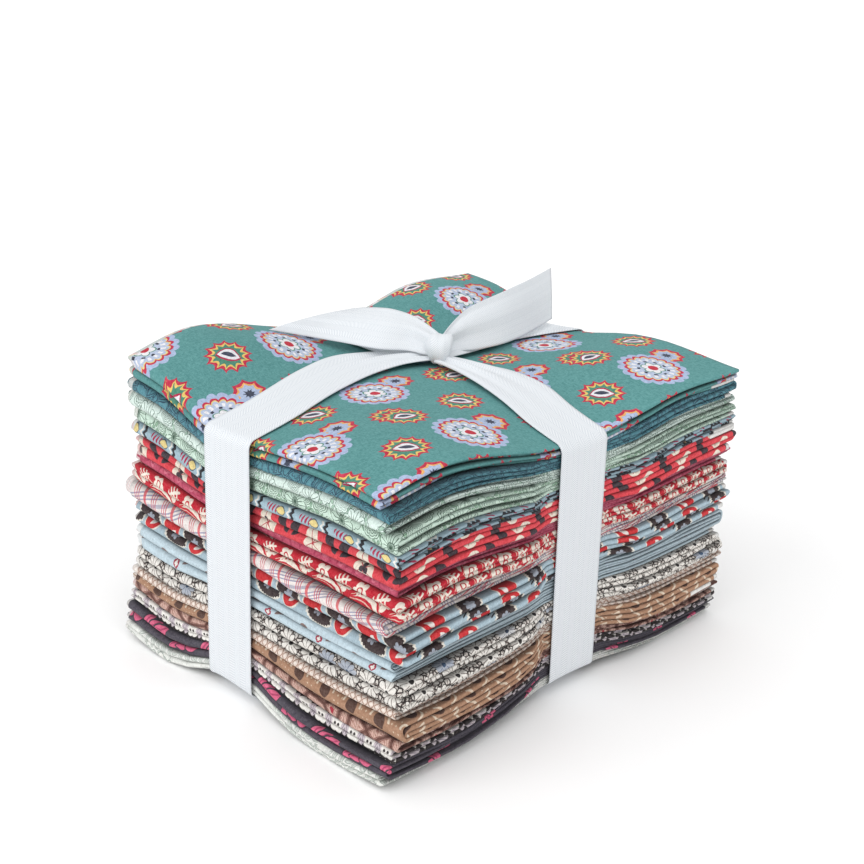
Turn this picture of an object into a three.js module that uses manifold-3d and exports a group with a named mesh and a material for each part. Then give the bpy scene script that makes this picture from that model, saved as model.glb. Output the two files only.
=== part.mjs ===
// One-yard fabric bundle: eighteen one-yard cuts of printed cotton, each folded flat, stacked and
// tied both ways with one length of white ribbon. Millimetres, +Z up. The origin is on the table
// under the middle of the bundle. The round cloth folds face -Y and the many thin edges face +X.
import * as THREE from "three";
import { mergeVertices } from "three/addons/utils/BufferGeometryUtils.js";
import Module from "manifold-3d";

const wasm = await Module();
wasm.setup();

// A cut is 36 by 44 inches, folded in four each way, so it lies 9 by 11 inches.
const FOLDED_WIDTH = 224;
const FOLDED_LENGTH = 276;
const LAYER_GAP = 0.45;
const CUT_GAP = 0.7;
const FOLD_ROUNDING = 2.6;
const FOLD_WALL = 2.4;

const RIBBON_WIDTH = 38;
const RIBBON_THICKNESS = 1;
const RIBBON_CLEARANCE = 0.35;
const RIBBON_ACROSS = -13;
const RIBBON_ALONG = 10;

// Where the ribbon squeezes the stack, the cloth draws in by this much and lies nearly even.
const SQUEEZE = 3;
const SQUEEZED_SHARE = 0.25;
// Where the lowest cut would lie less than this above the table, its own weight lays it flat there.
const LEAST_LIFT = 3;
// The folds pass the folded size unevenly, so the bundle is set over to centre it on the origin.
const SET_OVER = { across: 1.25, along: -4 };

// The stack's plan is a net of lines: its sides, the crown of each quarter and the ribbon's valley.
const ACROSS = [-112, -72, -34, 8, 60, 112];
const ALONG = [-138, -85, -12, 32, 88, 138];
// Each row is one line of ALONG, from the front to the back, and each column one of ACROSS.
const TOP_HEIGHTS = [
  [181, 174, 161, 160, 162, 157],
  [191, 187, 168, 167, 169, 164],
  [175, 175, 168, 167, 163, 152],
  [172, 172, 167, 166, 162, 151],
  [184, 182, 166, 165, 169, 161],
  [182, 178, 164, 165, 168, 162],
];
const BOTTOM_HEIGHTS = [
  [4, 0, 8.5, 6, 0, 3],
  [2, 0, 4.2, 3.5, 0, 0.5],
  [9, 3.3, 3.3, 3.3, 3.6, 10],
  [9, 3.3, 3.3, 3.3, 3.6, 8],
  [3, 0, 4.2, 3.5, 0, 0.5],
  [5, 2, 9, 7.5, 1, 1],
];
// Extra net lines of the lowest cut, which make its four flat resting patches.
const ACROSS_OF_LOWEST = [-112, -92, -72, -53, -34, 8, 34, 60, 86, 112];
const ALONG_OF_LOWEST = [-138, -111.5, -85, -48.5, -12, 32, 60, 88, 113, 138];

// From the top down. The first three sizes are the cut's thickness at the stack's left, front and
// right corners. The others are how far its folds pass the stack's front, left and right faces,
// the right face at its far end, and the back face.
const CUT_COLUMNS = [
  "name", "layers", "leftThick", "frontThick", "rightThick",
  "front", "left", "right", "farRight", "back", "colour",
];
const CUTS = [
  ["teal_rosette_cut", 4, 11.5, 7, 6.6, -6, -6, -9, 3, 9.5, 0x4a8f8a],
  ["steel_blue_cut", 2, 5.6, 4.4, 8.2, -5, -5, -1, 4, 9.5, 0x4d7c8a],
  ["mint_cut", 2, 8.2, 5.6, 4.8, -4.5, -4.5, -3, 3, 10, 0xb9dccb],
  ["sage_cut", 2, 8.4, 8.2, 5, -6, -7, 1, 4, 9, 0x9cc0a8],
  ["grey_dash_cut", 2, 8.4, 5.2, 5.6, -5, -5, 4.5, 6, 7, 0xaab6c2],
  ["coral_leaf_cut", 4, 9.6, 12, 13.4, -6.5, -5, 2.5, 6.5, 7.5, 0xd9494c],
  ["rose_cut", 2, 4.6, 4.6, 6, -8, -5, -1, 3, 8, 0xc9657a],
  ["crimson_vine_cut", 4, 8.4, 11, 9.2, -4.5, -4.5, 4, 5, 5, 0xb3243f],
  ["cream_plaid_cut", 2, 12.4, 6.8, 5, -1, 1.5, -2.5, 3.5, 7, 0xe6dcd6],
  ["bold_blue_cut", 4, 13.2, 13.8, 11.6, -4.5, -2, 6, 7.5, 4.5, 0xa7c2cf],
  ["pale_blue_cut", 4, 13.2, 10.2, 17, -4.5, -2, 0, 4, 6.5, 0xa9c5d0],
  ["daisy_cut", 4, 13.2, 14, 11.6, -4, -0.5, 5, 6.5, 4, 0xcfc8c2],
  ["pink_lattice_cut", 2, 4.6, 4.4, 6, -3.5, 2, 1, 4.5, 6, 0xd8c4c0],
  ["tan_dot_cut", 2, 4.8, 9.8, 12, -3.5, 4, 7, 7.5, 2.5, 0xa9836c],
  ["brown_pebble_cut", 2, 5.2, 5, 5.6, -3, 5, 5, 6, 3.5, 0x8e6f68],
  ["black_border_cut", 4, 6.6, 7.4, 5.8, -2, 6, 2, 5, 4, 0x6a6463],
  ["charcoal_scallop_cut", 4, 12, 6.4, 5.4, 1.5, 8.5, 3.5, 3, 5, 0x4b444d],
  ["white_line_cut", 4, 7.3, 5.6, 5.4, 2, 10, -1, -1, 6, 0xd9dad8],
].map((row) => Object.fromEntries(CUT_COLUMNS.map((column, i) => [column, row[i]])));

// Height of a net of heights at any place in the plan. Each cell of the net is two flat triangles,
// parted from its near left to its far right corner, and they go on past the net's ends.
function netHeight(heights, x, y) {
  const cell = (lines, at) => {
    let i = 0;
    while (i < lines.length - 2 && at > lines[i + 1]) i += 1;
    return [i, (at - lines[i]) / (lines[i + 1] - lines[i])];
  };
  const [column, u] = cell(ACROSS, x);
  const [row, v] = cell(ALONG, y);
  const [nearLeft, nearRight] = heights[row].slice(column, column + 2);
  const [farLeft, farRight] = heights[row + 1].slice(column, column + 2);
  if (u > v) return nearLeft + u * (nearRight - nearLeft) + v * (farRight - nearRight);
  return nearLeft + v * (farLeft - nearLeft) + u * (farRight - farLeft);
}

// Thickness of a loose cut at a place in the plan: a plane through its three corner thicknesses.
function looseThickness(cut, x, y) {
  const towardLeft = 0.5 - x / FOLDED_WIDTH;
  const towardBack = 0.5 + y / FOLDED_LENGTH;
  const { leftThick, frontThick, rightThick } = cut;
  return frontThick + (leftThick - frontThick) * towardLeft + (rightThick - frontThick) * towardBack;
}

// Real height of a level of the loose stack: squeezed by the ribbon and domed between its bands.
function pressedHeight(x, y, looseHeight) {
  const looseTotal = CUTS.reduce((sum, cut) => sum + looseThickness(cut, x, y), 0);
  const bottom = netHeight(BOTTOM_HEIGHTS, x, y);
  const top = netHeight(TOP_HEIGHTS, x, y);
  return bottom + ((top - bottom) * looseHeight) / looseTotal;
}

// Height of one face of a cut's layers. Face 0 is the top of its top layer, face 1 that layer's
// underside and so on down, and a number between two faces lies between them.
function faceHeight(index, x, y, face) {
  const below = CUTS.slice(index + 1).reduce((sum, cut) => sum + looseThickness(cut, x, y), 0);
  const cut = CUTS[index];
  const cloth = looseThickness(cut, x, y) - CUT_GAP - LAYER_GAP * (cut.layers - 1);
  const layer = cloth / cut.layers;
  const depthOf = (whole) => Math.ceil(whole / 2) * layer + Math.floor(whole / 2) * LAYER_GAP;
  const upper = Math.floor(face);
  const depth = depthOf(upper) + (face - upper) * (depthOf(upper + 1) - depthOf(upper));
  return pressedHeight(x, y, below + cloth + LAYER_GAP * (cut.layers - 1) - depth);
}

// How far the lowest cut sinks below the pressed stack to lie flat on the table.
function lowestSink(x, y) {
  const lift = netHeight(BOTTOM_HEIGHTS, x, y);
  return lift < LEAST_LIFT ? lift : 0;
}

// The folded strip seen from its side: a list of places round its back-and-forth outline.
// A place lies on a line of the net, or is set in from the front (-1) or back (1) end.
function foldedOutline(layers, inner) {
  const outline = [];
  const run = (face, toward) => {
    const order = toward > 0 ? inner : [...inner].reverse();
    order.forEach((along) => outline.push({ along, face }));
  };
  const roundFold = (end, from, to) => {
    outline.push({ end, inset: FOLD_ROUNDING, face: from });
    outline.push({ end, inset: 0, face: from + 0.3 * (to - from) });
    outline.push({ end, inset: 0, face: from + 0.7 * (to - from) });
    outline.push({ end, inset: FOLD_ROUNDING, face: to });
  };
  const insideFold = (end, from, to) => {
    outline.push({ end, inset: FOLD_WALL, face: from });
    outline.push({ end, inset: FOLD_WALL, face: to });
  };
  const rawEnd = (from, to) => {
    outline.push({ end: 1, inset: 0, face: from });
    outline.push({ end: 1, inset: 0, face: to });
  };
  for (let layer = 0; layer < layers; layer += 2) {
    if (layer > 0) insideFold(1, 2 * layer - 1, 2 * layer);
    run(2 * layer, -1);
    roundFold(-1, 2 * layer, 2 * layer + 3);
    run(2 * layer + 3, 1);
  }
  rawEnd(2 * layers - 1, 2 * layers - 2);
  for (let layer = layers - 1; layer > 0; layer -= 2) {
    run(2 * layer, -1);
    insideFold(-1, 2 * layer, 2 * layer - 1);
    run(2 * layer - 1, 1);
    if (layer > 1) roundFold(1, 2 * layer - 1, 2 * layer - 4);
  }
  rawEnd(1, 0);
  return outline;
}

// The same section as panels of place numbers, each turning from right to top to left: one
// between each pair of lines in each layer, one for each fold and one for each raw end.
function sectionPanels(layers, inner, outline) {
  const onLine = (face, along) => outline.findIndex((p) => p.face === face && p.along === along);
  const atEnd = (end, face, inset) =>
    outline.findIndex((p) => p.end === end && p.face === face && p.inset === inset);
  const panels = [];
  for (let layer = 0; layer < layers; layer += 1) {
    const [top, under] = [2 * layer, 2 * layer + 1];
    for (let i = 0; i < inner.length - 1; i += 1) {
      const [near, far] = [inner[i], inner[i + 1]];
      panels.push([onLine(under, near), onLine(under, far), onLine(top, far), onLine(top, near)]);
    }
  }
  const [first, last] = [inner[0], inner[inner.length - 1]];
  for (let layer = 0; layer < layers - 1; layer += 1) {
    const faces = [2 * layer, 2 * layer + 1, 2 * layer + 2, 2 * layer + 3];
    const atFront = layer % 2 === 0;
    const stem = faces.map((face) => onLine(face, atFront ? first : last));
    const start = atEnd(atFront ? -1 : 1, atFront ? faces[0] : faces[3], FOLD_ROUNDING);
    const round = [start, start + 1, start + 2, start + 3];
    const inside = [1, 2].map((i) => atEnd(atFront ? -1 : 1, faces[i], FOLD_WALL));
    if (atFront) panels.push([stem[3], stem[2], inside[1], inside[0], stem[1], stem[0], ...round]);
    else panels.push([stem[0], stem[1], inside[0], inside[1], stem[2], stem[3], ...round]);
  }
  [0, layers - 1].forEach((layer) => {
    const [top, under] = [2 * layer, 2 * layer + 1];
    panels.push([onLine(top, last), onLine(under, last), atEnd(1, under, 0), atEnd(1, top, 0)]);
  });
  return panels;
}

// How far a side of a cut reaches: less under the ribbon, where the squeeze evens it out.
function sideReach(half, proud, underRibbon) {
  return underRibbon ? half - SQUEEZE + SQUEEZED_SHARE * proud : half + proud;
}

function isUnderRibbon(at, centre) {
  return Math.abs(at - centre) < RIBBON_WIDTH / 2 + 5;
}

function acrossPlace(cut, line, lines, y) {
  const squeezed = isUnderRibbon(y, RIBBON_ALONG);
  const towardBack = 0.5 + y / FOLDED_LENGTH;
  const right = cut.right + (cut.farRight - cut.right) * towardBack;
  if (line === 0) return -sideReach(-lines[line], cut.left, squeezed);
  if (line === lines.length - 1) return sideReach(lines[line], right, squeezed);
  return lines[line];
}

function alongPlace(cut, place, x) {
  if (place.end === undefined) return place.along;
  const squeezed = isUnderRibbon(x, RIBBON_ACROSS);
  const proud = place.end < 0 ? cut.front : cut.back;
  return place.end * (sideReach(FOLDED_LENGTH / 2, proud, squeezed) - place.inset);
}

function meshGeometry(corners, faces) {
  const geometry = new THREE.BufferGeometry();
  geometry.setAttribute("position", new THREE.Float32BufferAttribute(corners.flat(), 3));
  geometry.setIndex(faces.flat());
  return geometry;
}

// One folded cut: its outline carried across the stack from the left side to the right side.
function cutGeometry(index) {
  const cut = CUTS[index];
  const isLowest = index === CUTS.length - 1;
  const across = isLowest ? ACROSS_OF_LOWEST : ACROSS;
  const inner = (isLowest ? ALONG_OF_LOWEST : ALONG).slice(1, -1);
  const outline = foldedOutline(cut.layers, inner);
  const count = outline.length;
  const corners = [];
  across.forEach((lineX, line) => {
    outline.forEach((place) => {
      const y = alongPlace(cut, place, lineX);
      const x = acrossPlace(cut, line, across, y);
      const sink = isLowest ? lowestSink(x, y) : 0;
      corners.push([x, y, faceHeight(index, x, y, place.face) - sink]);
    });
  });
  const faces = [];
  for (let line = 0; line < across.length - 1; line += 1) {
    for (let i = 0; i < count; i += 1) {
      const next = (i + 1) % count;
      const [a, b] = [line * count + i, line * count + next];
      const [c, d] = [a + count, b + count];
      // Every layer is split the same way in plan, so no two layers cross between the net's lines.
      if (corners[b][1] < corners[a][1]) faces.push([a, b, c], [b, d, c]);
      else faces.push([a, b, d], [a, d, c]);
    }
  }
  const last = (across.length - 1) * count;
  sectionPanels(cut.layers, inner, outline).forEach((panel) => {
    const flat = panel.map((i) => new THREE.Vector2(corners[last + i][1], corners[last + i][2]));
    THREE.ShapeUtils.triangulateShape(flat, []).forEach((triangle) => {
      const [a, b, c] = triangle.map((i) => panel[i]);
      faces.push([a, c, b], [last + a, last + b, last + c]);
    });
  });
  return meshGeometry(corners, faces);
}

function toSolid(geometry) {
  const bare = new THREE.BufferGeometry();
  bare.setAttribute("position", geometry.getAttribute("position"));
  if (geometry.index) bare.setIndex(geometry.index);
  const merged = mergeVertices(bare, 1e-4);
  return new wasm.Manifold(new wasm.Mesh({
    numProp: 3,
    vertProperties: new Float32Array(merged.getAttribute("position").array),
    triVerts: new Uint32Array(merged.index.array),
  }));
}

function toGeometry(solid) {
  const mesh = solid.getMesh();
  const geometry = new THREE.BufferGeometry();
  geometry.setAttribute("position", new THREE.BufferAttribute(mesh.vertProperties, 3));
  geometry.setIndex(new THREE.BufferAttribute(mesh.triVerts, 1));
  return geometry;
}

// A closed loop moved out by a distance, with its corners kept sharp.
function offsetLoop(loop, distance) {
  return loop.map((point, i) => {
    const before = loop[(i + loop.length - 1) % loop.length];
    const after = loop[(i + 1) % loop.length];
    const turn = (from, to) => {
      const length = Math.hypot(to[0] - from[0], to[1] - from[1]);
      return [(to[1] - from[1]) / length, -(to[0] - from[0]) / length];
    };
    const [one, two] = [turn(before, point), turn(point, after)];
    const bisector = [one[0] + two[0], one[1] + two[1]];
    const scale = (2 * distance) / (bisector[0] ** 2 + bisector[1] ** 2);
    return [point[0] + bisector[0] * scale, point[1] + bisector[1] * scale];
  });
}

// The ribbon's inner line round the stack at one of its edges: along the bottom, up the far
// side, back over the top and down. reaches are the stack's two squeezed sides.
function wrapLine(lines, reaches, topAt, bottomAt) {
  const stops = [reaches[0], ...lines.slice(1, -1), reaches[1]];
  const under = stops.map((at) => [at, bottomAt(at) - RIBBON_CLEARANCE]);
  const over = [...stops].reverse().map((at) => [at, topAt(at) + RIBBON_CLEARANCE]);
  return [...under, ...over];
}

// A closed band of ribbon between two edge lines. place turns a line's point into x, y, z.
function bandGeometry(lineOfEdge, place) {
  const edges = [-RIBBON_WIDTH / 2, RIBBON_WIDTH / 2];
  const corners = [];
  edges.forEach((edge) => {
    const inner = lineOfEdge(edge);
    const outer = offsetLoop(inner, RIBBON_THICKNESS);
    inner.forEach((point) => corners.push(place(edge, point)));
    outer.forEach((point) => corners.push(place(edge, point)));
  });
  const count = corners.length / 4;
  const faces = [];
  const quad = (a, b, c, d) => faces.push([a, b, c], [a, c, d]);
  for (let i = 0; i < count; i += 1) {
    const next = (i + 1) % count;
    const [inA, outA, inB, outB] = [0, 1, 2, 3].map((ring) => ring * count);
    quad(outA + i, outA + next, outB + next, outB + i);
    quad(inA + next, inA + i, inB + i, inB + next);
    quad(inA + i, inA + next, outA + next, outA + i);
    quad(inB + next, inB + i, outB + i, outB + next);
  }
  return meshGeometry(corners, faces);
}

const mostProud = (column) => Math.max(...CUTS.map((cut) => cut[column]));
const squeezedReach = (half, column) =>
  sideReach(half, mostProud(column), true) + RIBBON_CLEARANCE;

// Front to back: under the stack it passes below the other band.
function lengthwiseBand() {
  const half = FOLDED_LENGTH / 2;
  const reaches = [-squeezedReach(half, "front"), squeezedReach(half, "back")];
  const drop = RIBBON_THICKNESS + RIBBON_CLEARANCE;
  return bandGeometry((edge) => {
    const x = RIBBON_ACROSS + edge;
    const topAt = (y) => netHeight(TOP_HEIGHTS, x, y);
    const bottomAt = (y) =>
      netHeight(BOTTOM_HEIGHTS, x, y) - (isUnderRibbon(y, RIBBON_ALONG) ? drop : 0);
    return wrapLine(ALONG, reaches, topAt, bottomAt);
  }, (edge, [y, z]) => [RIBBON_ACROSS + edge, y, z]);
}

// Side to side: over the stack it laps half its thickness above the other band, at the knot.
function crosswiseBand() {
  const lap = RIBBON_THICKNESS / 2;
  const half = FOLDED_WIDTH / 2;
  const reaches = [-squeezedReach(half, "left"), squeezedReach(half, "farRight")];
  return bandGeometry((edge) => {
    const y = RIBBON_ALONG - edge;
    const topAt = (x) => netHeight(TOP_HEIGHTS, x, y) + (isUnderRibbon(x, RIBBON_ACROSS) ? lap : 0);
    const bottomAt = (x) => netHeight(BOTTOM_HEIGHTS, x, y);
    return wrapLine(ACROSS, reaches, topAt, bottomAt);
  }, (edge, [x, z]) => [x, RIBBON_ALONG - edge, z]);
}

const KNOT = { across: -2, along: 12.3, height: 174.2, halfWidth: 12, halfLength: 10, halfHeight: 6 };

function knotGeometry() {
  const geometry = new THREE.SphereGeometry(1, 12, 8);
  geometry.scale(KNOT.halfWidth, KNOT.halfLength, KNOT.halfHeight);
  geometry.translate(KNOT.across, KNOT.along, KNOT.height);
  return geometry;
}

// A free end as a flat strip: each row is its two edges at one place, from the knot outward.
function tailGeometry(rows, thicknessWay) {
  const half = thicknessWay.clone().setLength(RIBBON_THICKNESS / 2);
  const corners = [];
  rows.forEach(({ near, far }) => {
    [[near, -1], [far, -1], [far, 1], [near, 1]].forEach(([edge, way]) => {
      corners.push(new THREE.Vector3(...edge).addScaledVector(half, way).toArray());
    });
  });
  const faces = [[0, 1, 2], [0, 2, 3]];
  for (let row = 0; row < rows.length - 1; row += 1) {
    for (let i = 0; i < 4; i += 1) {
      const [a, b] = [row * 4 + i, row * 4 + ((i + 1) % 4)];
      faces.push([a, a + 4, b + 4], [a, b + 4, b]);
    }
  }
  const end = (rows.length - 1) * 4;
  faces.push([end, end + 2, end + 1], [end, end + 3, end + 2]);
  return meshGeometry(corners, faces);
}

// The left end lies over the stack, cut on the slant.
const LEFT_END = [
  { near: [-4, 7, 173.5], far: [-4, 15, 174.5] },
  { near: [-24, -18, 176.5], far: [-20, 18, 178] },
  { near: [-49, -28.5, 178.5], far: [-43, 8.5, 180.5] },
  { near: [-76, -52, 182], far: [-62, 6, 182] },
];
// The right end stands on its edge along the far band.
const RIGHT_END = [
  { near: [-1, 12, 171.5], far: [-1, 12, 176.5] },
  { near: [1, 50, 169.2], far: [3, 50, 199] },
  { near: [2, 80, 169], far: [6, 80, 203.5] },
  { near: [3, 112, 168.8], far: [8, 112, 206.5] },
];

function ribbonGeometry() {
  const pieces = [
    lengthwiseBand(),
    crosswiseBand(),
    knotGeometry(),
    tailGeometry(LEFT_END, new THREE.Vector3(0, 0, 1)),
    tailGeometry(RIGHT_END, new THREE.Vector3(-1, 0, 0)),
  ];
  return toGeometry(pieces.map(toSolid).reduce((whole, piece) => whole.add(piece)));
}

function piece(name, geometry, colour, roughness) {
  const material = new THREE.MeshStandardMaterial({ color: colour, roughness, metalness: 0 });
  const mesh = new THREE.Mesh(geometry, material);
  mesh.name = name;
  return mesh;
}

const bundle = new THREE.Group();
CUTS.forEach((cut, index) => bundle.add(piece(cut.name, cutGeometry(index), cut.colour, 0.9)));
bundle.add(piece("white_ribbon", ribbonGeometry(), 0xf4f4f2, 0.75));
bundle.position.set(SET_OVER.across, SET_OVER.along, 0);

export default bundle;
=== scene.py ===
import math
from functools import reduce

import bpy
import numpy as np
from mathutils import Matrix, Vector


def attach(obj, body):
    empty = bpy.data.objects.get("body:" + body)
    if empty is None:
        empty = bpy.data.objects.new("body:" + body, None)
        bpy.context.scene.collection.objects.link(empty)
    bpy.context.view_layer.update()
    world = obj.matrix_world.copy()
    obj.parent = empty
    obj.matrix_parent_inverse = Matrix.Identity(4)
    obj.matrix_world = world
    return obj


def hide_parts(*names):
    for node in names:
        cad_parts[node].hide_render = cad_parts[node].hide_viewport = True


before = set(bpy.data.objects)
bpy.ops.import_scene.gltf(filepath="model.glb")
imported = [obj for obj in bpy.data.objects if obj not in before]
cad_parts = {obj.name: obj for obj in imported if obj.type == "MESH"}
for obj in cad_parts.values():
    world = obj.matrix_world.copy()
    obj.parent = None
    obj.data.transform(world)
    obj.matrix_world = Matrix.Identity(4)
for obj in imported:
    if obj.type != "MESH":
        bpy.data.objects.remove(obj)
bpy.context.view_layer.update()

# ---- where the bundle stands
# A plain white table top in a pale room, with soft studio light: one broad light from the
# front left, one from the right, and the room's own even light.


def place(name, made_of):
    """Puts a new object into the scene."""
    thing = bpy.data.objects.new(name, made_of)
    bpy.context.scene.collection.objects.link(thing)
    return thing


def set_values(node, **values):
    """Sets plain values on a node's own sockets."""
    for label, value in values.items():
        node.inputs[label.replace("_", " ")].default_value = value


def new_finish(name, **values):
    """A material with plain values set on its shader."""
    finish = bpy.data.materials.new(name)
    finish.use_nodes = True
    set_values(finish.node_tree.nodes["Principled BSDF"], **values)
    return finish


HALF_TABLE = 15
table_mesh = bpy.data.meshes.new("table_top")
table_mesh.from_pydata([(HALF_TABLE * x, HALF_TABLE * y, 0)
                        for x, y in ((-1, -1), (1, -1), (1, 1), (-1, 1))], [], [(0, 1, 2, 3)])
table_top = place("table_top", table_mesh)
table_mesh.materials.append(new_finish(
    "white_table_paint", Base_Color=(0.97, 0.97, 0.97, 1), Roughness=0.9, Specular_IOR_Level=0.2))

room = bpy.data.worlds.new("pale_room")
room.use_nodes = True
set_values(room.node_tree.nodes["Background"], Color=(1, 1, 1, 1), Strength=0.80)
bpy.context.scene.world = room
bpy.context.scene.view_settings.view_transform = "Standard"


def soft_light(name, shines_from, strength):
    light = bpy.data.lights.new(name, "SUN")
    light.energy = strength
    light.angle = math.radians(50)
    place(name, light).rotation_euler = Vector(shines_from).to_track_quat("Z", "Y").to_euler()


soft_light("front_left_light", (-0.25, -0.80, 0.50), 0.84)
soft_light("right_light", (0.45, -0.28, 0.85), 0.87)

camera_data = bpy.data.cameras.new("studio_camera")
camera_data.lens = 59.14
camera_data.sensor_width = 36
camera_data.shift_x = 0.008
camera_data.shift_y = 0.0756
studio_camera = place("studio_camera", camera_data)
studio_camera.location = (0.55725, -0.5555, 0.4185)
looks_along = Vector((0.00125, -0.004, 0.088)) - studio_camera.location
studio_camera.rotation_euler = looks_along.to_track_quat("-Z", "Y").to_euler()
bpy.context.scene.camera = studio_camera

# ---- first cut: teal with rosettes
# The top cut of the bundle, one yard of quilting cotton about 44 inches wide. Like every cut
# it is folded in four across and in four again, so sixteen layers lie over each other, and
# it is pressed flat where the ribbon goes over it.

FOLDED_WIDTH = 0.224
FOLDED_LENGTH = 0.276
CUT_SIZE = (0.914, 1.118)
SET_OVER = (0.00125, -0.004)
CLOTH_THICKNESS = 0.0002
LEVELS = 16
TABLE_GAP = 0.0004  # the least that any cloth is above the table

# Heights of the stack's top and underside in millimetres: rows run from front to back,
# columns from left to right. Past the outer rows and columns they go on for 6 mm.
ACROSS = [-112, -72, -34, 8, 60, 112]
ALONG = [-138, -85, -12, 32, 88, 138]
NET_MARGIN = 0.006
TOP_HEIGHTS = [
    [181, 174, 161, 160, 162, 157],
    [191, 187, 168, 167, 169, 164],
    [175, 175, 168, 167, 163, 152],
    [172, 172, 167, 166, 162, 151],
    [184, 182, 166, 165, 169, 161],
    [182, 178, 164, 165, 168, 162],
]
BOTTOM_HEIGHTS = [
    [4, 0, 8.5, 6, 0, 3],
    [2, 0, 4.2, 3.5, 0, 0.5],
    [9, 3.3, 3.3, 3.3, 3.6, 10],
    [9, 3.3, 3.3, 3.3, 3.6, 8],
    [3, 0, 4.2, 3.5, 0, 0.5],
    [5, 2, 9, 7.5, 1, 1],
]
# The cuts' loose thicknesses add up to this at the left, front and right corners.
LOOSE_HEIGHT = np.array([157.2, 141.4, 144.2])
loose_above = np.zeros(3)

# How the folded cloth departs from a true block, in metres.
OUT_OF_LINE = 0.0018  # one length of a cut past the next
SIDE_WAVE, END_WAVE = 0.0009, 0.0010
SKEW = 0.0012
SIDE_TURN = 0.0011  # how far a turn at the side bulges out
END_SHADE = 0.0055  # how far in behind the end folds the painted shade reaches

# The ribbon draws the folds in to these faces.
HELD_SIDE, HELD_FRONT, HELD_BACK = 0.1085, 0.1340, 0.1360
HELD_HALF, HELD_FADE = 0.021, 0.030

# Shares of a cut's own thickness: the swelling at its side folds, the depth of a turn
# against half its height, and how far the layers wander up and down.
FOLD_PUFF, END_ROUND, SIDE_ROUND, LAYER_WANDER = 0.17, 0.85, 0.95, 0.35


def curve_weights(lines, at):
    """How much each line counts at each place, for a smooth curve through all of them."""
    k = np.clip(np.searchsorted(lines, at) - 1, 0, len(lines) - 2)
    gap = lines[k + 1] - lines[k]
    t = (at - lines[k]) / gap
    weights = np.zeros(at.shape + (len(lines),))

    def add(index, amount):
        old = np.take_along_axis(weights, index[..., None], -1)
        np.put_along_axis(weights, index[..., None], old + amount[..., None], -1)

    add(k, 2 * t**3 - 3 * t**2 + 1)
    add(k + 1, -2 * t**3 + 3 * t**2)
    for end, curve in ((k, t**3 - 2 * t**2 + t), (k + 1, t**3 - t**2)):
        low = np.maximum(end - 1, 0)
        high = np.minimum(end + 1, len(lines) - 1)
        slope = curve * gap / (lines[high] - lines[low])
        add(high, slope)
        add(low, -slope)
    return weights


def net_height(net, x, y):
    """The height of one of the two nets at a place."""
    def weights(lines, at):
        lines = np.array(lines) / 1000
        return curve_weights(lines, np.clip(at, lines[0] - NET_MARGIN, lines[-1] + NET_MARGIN))

    heights = np.array(net) / 1000
    return np.einsum("...i,ij,...j->...", weights(ALONG, y), heights, weights(ACROSS, x))


def stack_height(share, x, y):
    """The height inside the stack: share is 0 at the underside and 1 at the top."""
    top = net_height(TOP_HEIGHTS, x, y)
    bottom = np.maximum(net_height(BOTTOM_HEIGHTS, x, y), TABLE_GAP)
    return bottom + (top - bottom) * share


def loose_thickness(corners, x, y):
    left, front, right = corners
    return (front + (left - front) * (0.5 - x / FOLDED_WIDTH)
            + (right - front) * (0.5 + y / FOLDED_LENGTH))


def near_ribbon(at, middle_line):
    """1 under the ribbon, fading to 0 a little way beside it."""
    beside = np.clip((np.abs(at - middle_line) - HELD_HALF) / HELD_FADE, 0, 1)
    return 1 - beside * beside * (3 - 2 * beside)


def ripple(seed, *ways):
    """A slow uneven wave from -1 to 1, for cloth that never lies quite true. Each way is a
    place and the length of its wave."""
    total = 0
    for k in range(3):
        phase = seed * (1.7 + k) + k * 2.1
        for i, (way, length) in enumerate(ways):
            phase = phase + way * (2 * math.pi / length) * (1 + 0.63 * k) * (1 if i % 2 else -1)
        total = total + np.sin(phase) / (1 + k)
    return total / 1.83


def fold_stations(order, straight_cells, turn_cells):
    """Four lengths of cloth one over another. For each place along them: the length it is on,
    its way from side to side, the heights that it turns between and how far it has turned."""
    left_out, first, both_ends = 0.06, 0.0088, 0.0177
    rows = []
    for part in range(4):
        way = 1 if part % 2 == 0 else -1
        for k in range(straight_cells + 1):
            # The cells are smaller towards the folds, where the cloth curves more.
            angle = math.pi * (left_out + (1 - 2 * left_out) * k / straight_cells)
            f = (0.5 - 0.5 * math.cos(angle) - first) / (1 - both_ends)
            rows.append((part, way * (2 * f - 1), order[part], order[part], 0.0))
        if part < 3:
            for k in range(1, turn_cells):
                turned = math.pi * k / turn_cells
                rows.append((part, float(way), order[part], order[part + 1], turned))
    return [np.array(column, dtype=float) for column in zip(*rows)]


def grid_faces(rows, columns):
    """The four-cornered faces of a grid of places."""
    corner = (np.arange(rows - 1)[:, None] * columns + np.arange(columns - 1)).ravel()
    return np.stack([corner, corner + columns, corner + columns + 1, corner + 1], 1)


def make_sheet(name, places, faces, flat_name, flat_places, thickness, wrong_side=0):
    """A sheet of cloth with its real thickness. It keeps each place's own place on the flat
    cloth as a map, and wrong_side is the step from its face's material to its back's."""
    mesh = bpy.data.meshes.new(name)
    mesh.from_pydata(places.tolist(), [], faces.tolist())
    flat_map = mesh.uv_layers.new(name=flat_name)
    flat_map.data.foreach_set("uv", flat_places[faces.ravel()].ravel())
    mesh.polygons.foreach_set("use_smooth", [True] * len(faces))
    sheet = place(name, mesh)
    body = sheet.modifiers.new("real_thickness", "SOLIDIFY")
    body.thickness = thickness
    body.offset = 0
    body.material_offset = body.material_offset_rim = wrong_side
    return sheet


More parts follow.
